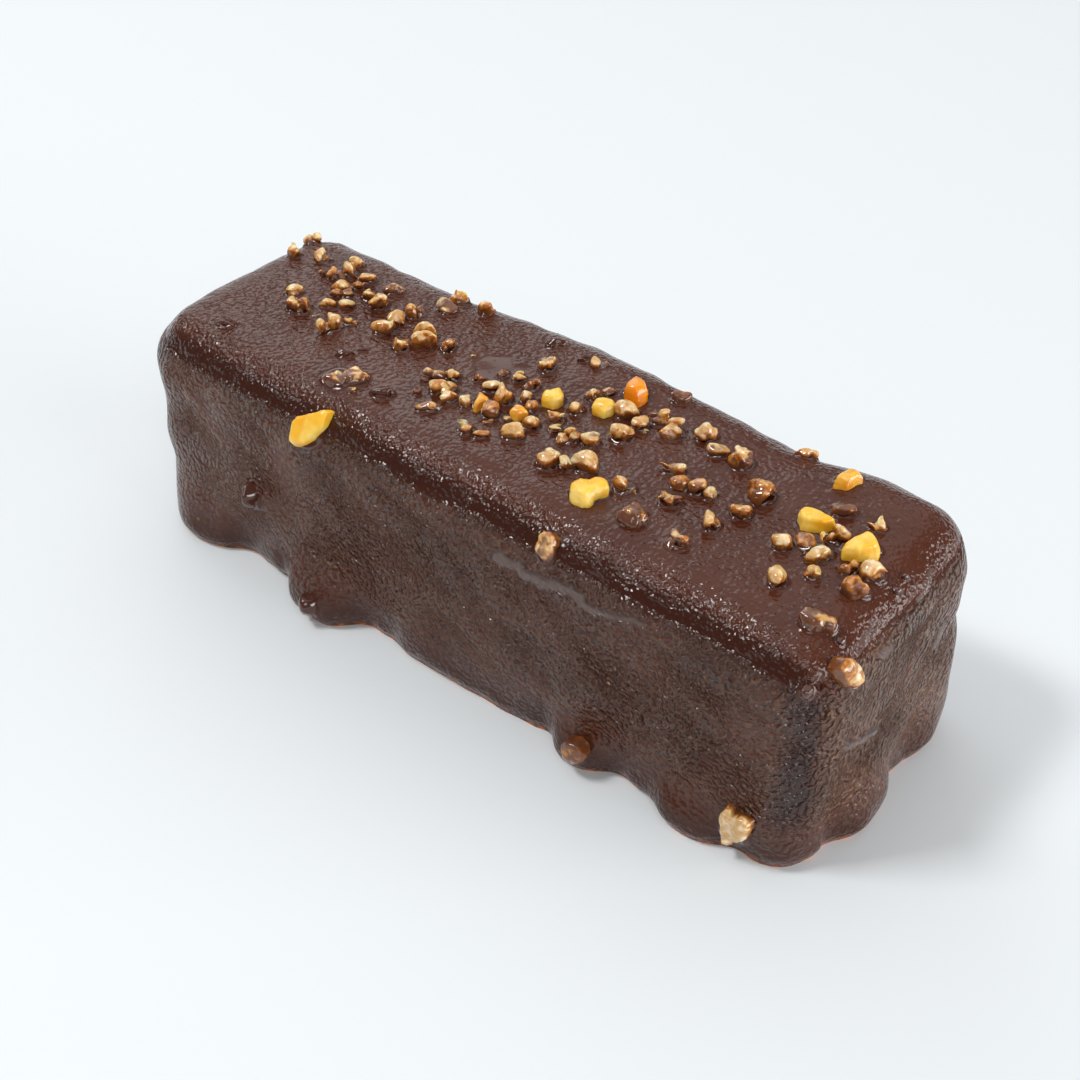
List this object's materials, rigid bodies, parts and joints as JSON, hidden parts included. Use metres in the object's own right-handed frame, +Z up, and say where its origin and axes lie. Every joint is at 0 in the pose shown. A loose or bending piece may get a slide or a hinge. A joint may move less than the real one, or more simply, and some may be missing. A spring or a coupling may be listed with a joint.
{
  "type": "chocolate-coated cake bar",
  "caption": "Rectangular cake bar dipped in dark chocolate, with drips round its foot and chopped nuts and crunchy chips on top.",
  "frame": {"origin": "middle of the flat underside, on the surface the bar stands on", "axes": "+X along the bar's length, +Y across it away from the side with the largest drips, +Z up"},
  "size_m": [0.1132, 0.043, 0.0367],
  "materials": {
    "chocolate_coating": "satin dark chocolate with fine orange-peel bumps",
    "yellow_chip": "satin, slightly translucent",
    "orange_chip": "glossy, slightly translucent",
    "caramelised_nut": "glossy caramel over pale nut",
    "coated_nut": "glossy thin chocolate over nut"
  },
  "bodies": {
    "root": {"coated_bar": "chocolate_coating", "yellow_chip_heart": "yellow_chip", "yellow_chip_wedge": "yellow_chip", "yellow_chip_block": "yellow_chip", "yellow_chip_plate": "yellow_chip", "yellow_chip_cube": "yellow_chip", "yellow_chip_round": "yellow_chip", "orange_chip_egg": "orange_chip", "amber_chip_dome": "orange_chip", "amber_chip_near": "orange_chip", "amber_chip_far": "orange_chip", "nut_amber_back": "caramelised_nut", "nut_coated_pair": "coated_nut", "nut_coated_mid": "coated_nut", "nut_front_edge": "caramelised_nut", "nut_flat_right": "caramelised_nut", "nut_brown_right": "caramelised_nut", "nut_coated_right": "coated_nut", "nut_end_edge": "caramelised_nut", "nut_foot_middle": "caramelised_nut", "nut_foot_near": "caramelised_nut"}
  },
  "joints": []
}
